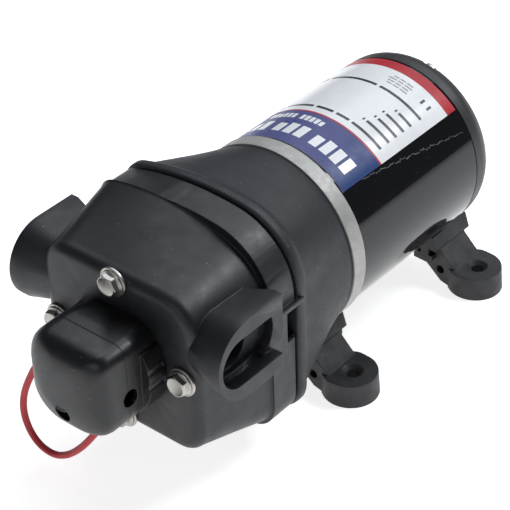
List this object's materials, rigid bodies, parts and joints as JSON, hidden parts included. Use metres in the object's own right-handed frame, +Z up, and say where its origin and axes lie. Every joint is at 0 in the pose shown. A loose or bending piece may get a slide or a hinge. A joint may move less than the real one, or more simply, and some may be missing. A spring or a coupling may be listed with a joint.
{
  "type": "bilge pump",
  "caption": "Electric boat pump: black motor, four-chamber diaphragm head with two side ports, pressure switch on the front, and rubber feet.",
  "frame": {"origin": "centre of the four foot holes, on the surface that the feet stand on", "axes": "+X to the pump's right seen from the switch end, +Y along the shaft from the switch to the motor's rear, +Z up"},
  "size_m": [0.104, 0.2268, 0.1065],
  "materials": {
    "can": "gloss black enamel",
    "bell": "bead-blasted die casting",
    "end_cap": "fine satin",
    "ferrite": "sintered",
    "zinc_screw": "zinc plated",
    "stainless": "satin",
    "label": "printed film",
    "bearing_steel": "ground",
    "shaft_steel": "ground",
    "laminations": "dark",
    "copper": "enamelled wire",
    "commutator": "turned",
    "card": "phenolic board",
    "brass": "pressed",
    "carbon": "carbon brush",
    "spring_steel": "drawn wire",
    "cam_steel": "sintered steel",
    "black_steel": "black oxide",
    "white_plastic": "glass-filled",
    "head_plastic": "fine-textured glass-filled",
    "housing_plastic": "fine-textured glass-filled",
    "grey_plastic": "glass-filled",
    "seal_rubber": "moulded",
    "switch_plastic": "satin",
    "micro_plastic": "phenolic",
    "wire": "PVC insulation",
    "foot_rubber": "moulded",
    "bracket_plastic": "glass-filled"
  },
  "bodies": {
    "pump": {"motor_can": "can", "front_bell": "bell", "end_cap": "end_cap", "magnets": "ferrite", "through_bolts": "zinc_screw", "label": "label", "rear_bearing": "bearing_steel", "front_bearing": "bearing_steel", "brush_card": "card", "brush_holders": "brass", "brush_spring_left": "spring_steel", "brush_spring_right": "spring_steel", "diaphragm": "seal_rubber", "drive_housing": "housing_plastic", "housing_screws": "zinc_screw", "valve_plate": "grey_plastic", "inlet_valves": "seal_rubber", "outlet_valve": "seal_rubber", "outlet_seal": "seal_rubber", "pump_head": "head_plastic", "head_screws": "stainless", "head_washers": "stainless", "switch_base": "switch_plastic", "switch_cover": "switch_plastic", "switch_screws": "stainless", "pressure_diaphragm": "seal_rubber", "plunger_spring": "spring_steel", "microswitch": "micro_plastic", "switch_terminals": "brass", "lead_wire": "wire", "front_bracket": "bracket_plastic", "rear_bracket": "bracket_plastic", "base_screws": "zinc_screw", "foot_front_left": "foot_rubber", "foot_front_right": "foot_rubber", "foot_rear_left": "foot_rubber", "foot_rear_right": "foot_rubber"},
    "rotor": {"motor_shaft": "shaft_steel", "armature_core": "laminations", "windings": "copper", "commutator": "commutator", "cam": "cam_steel", "cam_set_screw": "black_steel"},
    "wobble_unit": {"cam_bearing": "bearing_steel", "wobble_plate": "white_plastic", "pistons": "white_plastic", "piston_screws": "stainless"},
    "brush_left": {"brush_left": "carbon"},
    "brush_right": {"brush_right": "carbon"},
    "plunger": {"plunger": "white_plastic"},
    "switch_button": {"switch_button": "white_plastic"},
    "spring_seat": {"spring_seat": "brass"},
    "adjust_screw": {"adjust_screw": "zinc_screw"}
  },
  "joints": [
    {"name": "rotor_spin", "type": "hinge", "parent": "pump", "child": "rotor", "pos_m": [0, -0.04, 0.062], "axis": [0, 1, 0], "continuous": true},
    {"name": "wobble_turn", "type": "hinge", "parent": "rotor", "child": "wobble_unit", "pos_m": [0, -0.082, 0.062], "axis": [0, 0.9962, 0.0872], "continuous": true, "deforming": ["diaphragm"]},
    {"name": "brush_left_slide", "type": "slide", "parent": "pump", "child": "brush_left", "axis": [-1, 0, 0], "range_m": [0, 0.002], "stiffness_N_per_m": 600, "springref_m": -0.003, "deforming": ["brush_spring_left"]},
    {"name": "brush_right_slide", "type": "slide", "parent": "pump", "child": "brush_right", "axis": [1, 0, 0], "range_m": [0, 0.002], "stiffness_N_per_m": 600, "springref_m": -0.003, "deforming": ["brush_spring_right"]},
    {"name": "plunger_slide", "type": "slide", "parent": "pump", "child": "plunger", "axis": [0, -1, 0], "range_m": [0, 0.001], "stiffness_N_per_m": 2500, "springref_m": -0.001, "deforming": ["plunger_spring", "pressure_diaphragm"]},
    {"name": "button_press", "type": "slide", "parent": "pump", "child": "switch_button", "axis": [0, -1, 0], "range_m": [0, 0.001], "stiffness_N_per_m": 400, "springref_m": -0.0005},
    {"name": "adjust_turn", "type": "hinge", "parent": "pump", "child": "adjust_screw", "pos_m": [0, -0.04, 0.0518], "axis": [0, 1, 0], "range_deg": [-360, 360]},
    {"name": "seat_slide", "type": "slide", "parent": "pump", "child": "spring_seat", "axis": [0, 1, 0], "range_m": [-0.0007, 0.0007]}
  ],
  "couplings": [
    {"joint": "wobble_turn", "follows": "rotor_spin", "ratio": -1},
    {"joint": "button_press", "follows": "plunger_slide", "ratio": 1},
    {"joint": "adjust_turn", "follows": "seat_slide", "rad_per_m": 8976}
  ]
}
